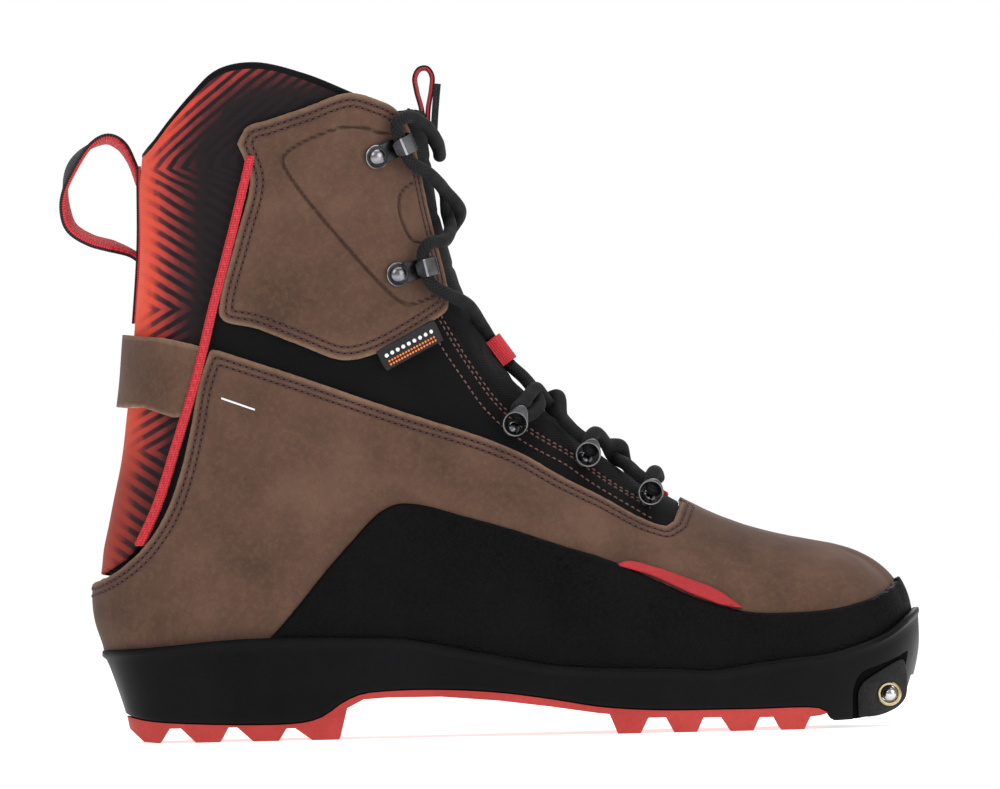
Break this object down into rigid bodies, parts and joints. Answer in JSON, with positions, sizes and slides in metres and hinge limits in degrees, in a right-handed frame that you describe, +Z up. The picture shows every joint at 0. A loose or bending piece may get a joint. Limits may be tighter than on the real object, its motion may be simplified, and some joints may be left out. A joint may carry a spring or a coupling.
{
  "type": "cross country ski boot",
  "caption": "Ankle-high laced cross country ski boot with nubuck and stretch fabric upper, rubber rand, lugged sole and steel toe bar.",
  "frame": {"origin": "centre of the bounding box at the floor under the sole", "axes": "+X along the foot towards the toe, +Y towards the inner side of the foot, +Z up; right foot"},
  "size_m": [0.319, 0.1108, 0.2536],
  "materials": {
    "leather": "matte nubuck",
    "black_fabric": "matte stretch weave",
    "print_fabric": "matte knit printed from orange to near black",
    "lining": "matte brushed knit",
    "webbing": "woven webbing",
    "rubber": "matte moulded",
    "red_rubber": "satin moulded",
    "foam": "matte covered foam",
    "board": "matte fibre board",
    "gunmetal": "satin gunmetal",
    "steel": "machined",
    "brass": "dull",
    "cord": "braided"
  },
  "bodies": {
    "root": {"lower_leather": "leather", "heel_strap": "leather", "cuff_leather_lateral": "leather", "cuff_leather_medial": "leather", "collar_binding": "black_fabric", "tongue_lower": "black_fabric", "side_label": "black_fabric", "softshell_lateral": "black_fabric", "softshell_medial": "black_fabric", "collar_rear": "print_fabric", "lining": "lining", "heel_loop_tape": "webbing", "lace_keeper": "webbing", "throat_tab": "webbing", "piping_lateral": "webbing", "piping_medial": "webbing", "sole_unit": "rubber", "rand": "rubber", "outsole": "red_rubber", "rand_accent_lateral": "red_rubber", "rand_accent_medial": "red_rubber", "footbed": "foam", "collar_padding": "foam", "insole_board": "board", "heel_counter": "board", "toe_puff": "board", "lace_hook_upper_lateral": "gunmetal", "lace_hook_upper_medial": "gunmetal", "lace_hook_lower_lateral": "gunmetal", "lace_hook_lower_medial": "gunmetal", "hook_rivet_upper_lateral": "gunmetal", "hook_rivet_upper_medial": "gunmetal", "hook_rivet_lower_lateral": "gunmetal", "hook_rivet_lower_medial": "gunmetal", "lace_eyelet_top_lateral": "gunmetal", "lace_eyelet_top_medial": "gunmetal", "lace_eyelet_middle_lateral": "gunmetal", "lace_eyelet_middle_medial": "gunmetal", "lace_eyelet_bottom_lateral": "gunmetal", "lace_eyelet_bottom_medial": "gunmetal", "eyelet_rivet_top_lateral": "gunmetal", "eyelet_rivet_top_medial": "gunmetal", "eyelet_rivet_middle_lateral": "gunmetal", "eyelet_rivet_middle_medial": "gunmetal", "eyelet_rivet_bottom_lateral": "gunmetal", "eyelet_rivet_bottom_medial": "gunmetal", "shank": "steel", "toe_bar": "steel", "toe_bar_bush_lateral": "brass", "toe_bar_bush_medial": "brass", "lace": "cord"},
    "tongue": {"tongue_upper": "black_fabric"},
    "tongue_loop": {"tongue_loop": "webbing"},
    "heel_loop": {"heel_loop": "webbing"}
  },
  "joints": [
    {"name": "tongue_tilt", "type": "hinge", "parent": "root", "child": "tongue", "pos_m": [-0.01917, -0.00186, 0.1516], "axis": [0, 1, 0], "range_deg": [-6, 0], "stiffness_Nm_per_rad": 3},
    {"name": "tongue_loop_swing", "type": "hinge", "parent": "tongue", "child": "tongue_loop", "pos_m": [-0.02217, -0.00186, 0.236], "axis": [0, 1, 0], "range_deg": [-20, 25], "stiffness_Nm_per_rad": 0.02},
    {"name": "heel_loop_swing", "type": "hinge", "parent": "root", "child": "heel_loop", "pos_m": [-0.13417, -0.00186, 0.2], "axis": [0, 0, 1], "range_deg": [-35, 35], "stiffness_Nm_per_rad": 0.02}
  ]
}
